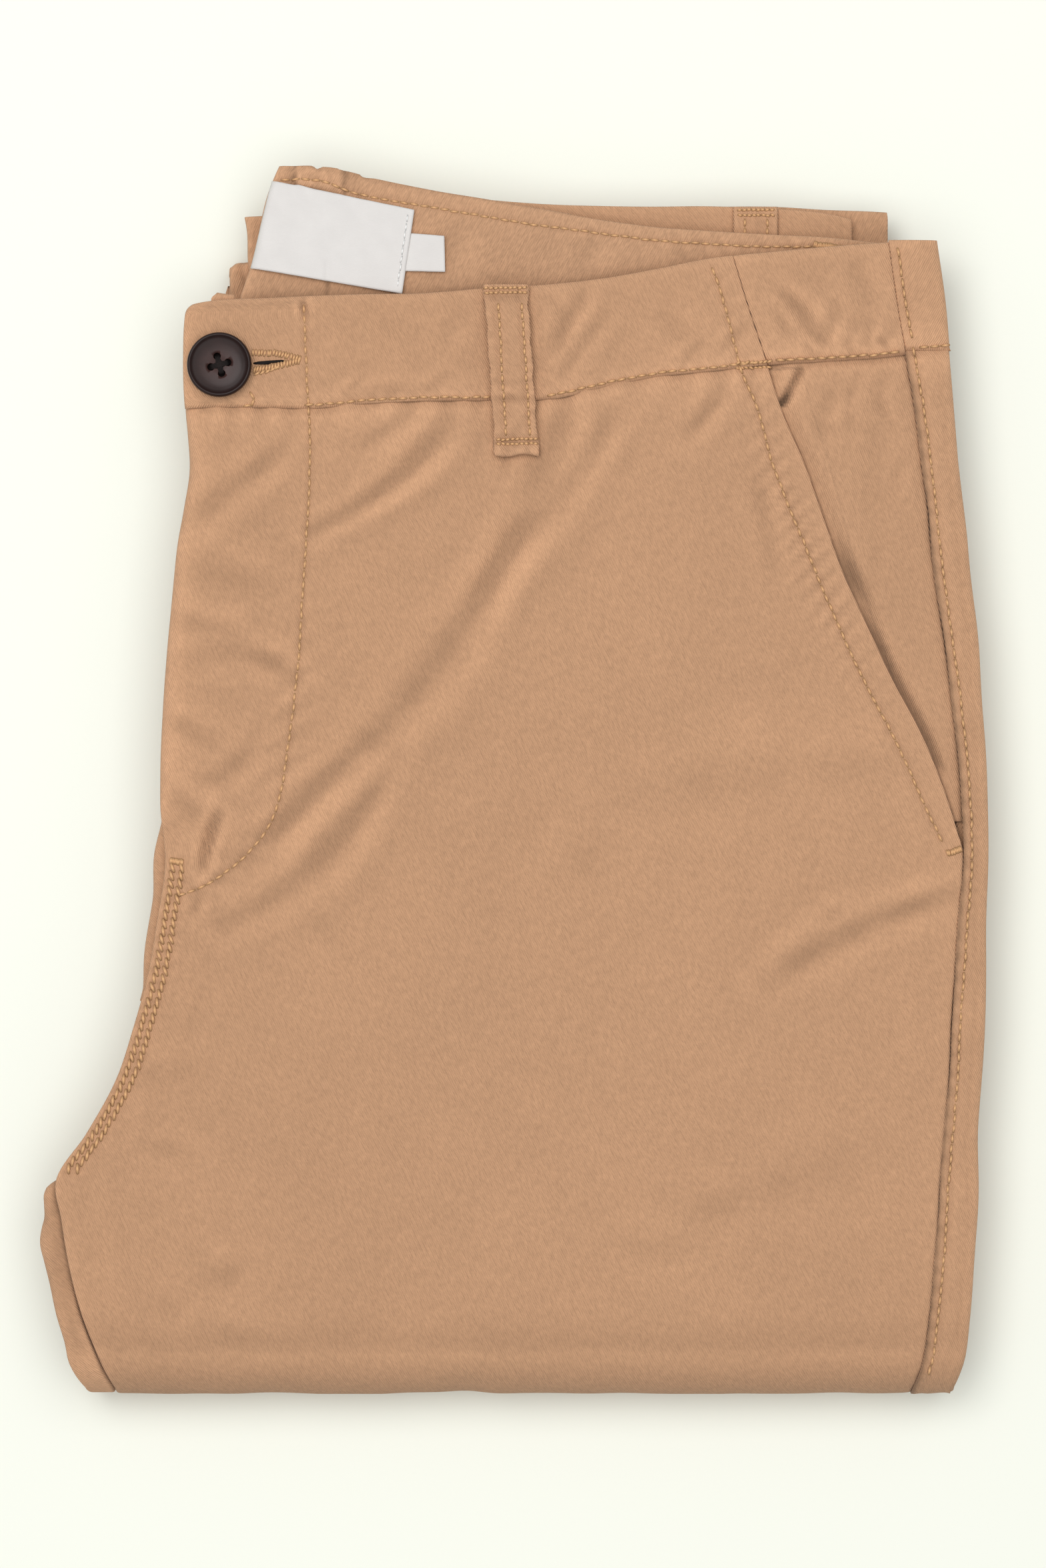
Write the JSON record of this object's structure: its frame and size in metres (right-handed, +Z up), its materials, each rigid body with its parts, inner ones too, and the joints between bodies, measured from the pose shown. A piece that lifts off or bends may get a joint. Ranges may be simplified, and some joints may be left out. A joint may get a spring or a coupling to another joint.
{
  "type": "folded chino trousers",
  "caption": "Tan cotton twill chino trousers folded into a flat pile, left front uppermost, with slant pocket, waistband, belt loops and a four-hole button.",
  "frame": {"origin": "middle of the pile's outline on the surface that it lies on", "axes": "+Z up from the surface, +Y towards the waist, +X towards the left side seam"},
  "size_m": [0.271, 0.3506, 0.0289],
  "materials": {
    "twill": "washed cotton twill, matt with a faint peach nap",
    "twill_inside": "inner face of the cotton twill, matt",
    "label_satin": "off-white woven label satin, left plain",
    "button_horn": "dark brown horn-look resin, satin gloss",
    "thread": "tonal sewing thread"
  },
  "bodies": {
    "root": {"folded_layers": "twill", "front_left": "twill", "front_right": "twill", "back_left": "twill", "back_left_inseam": "twill", "pocket_facing_left": "twill", "waistband_front_left": "twill", "waistband_side_left": "twill", "waistband_back_left": "twill", "waistband_facing_back_left": "twill_inside", "waistband_back_right": "twill", "waistband_front_right": "twill_inside", "waistband_facing_front_left": "twill_inside", "fly_shield": "twill_inside", "label": "label_satin", "size_tag": "label_satin", "belt_loop_front_left": "twill", "belt_loop_centre_back": "twill", "belt_loop_back_right": "twill", "button": "button_horn"}
  },
  "joints": []
}
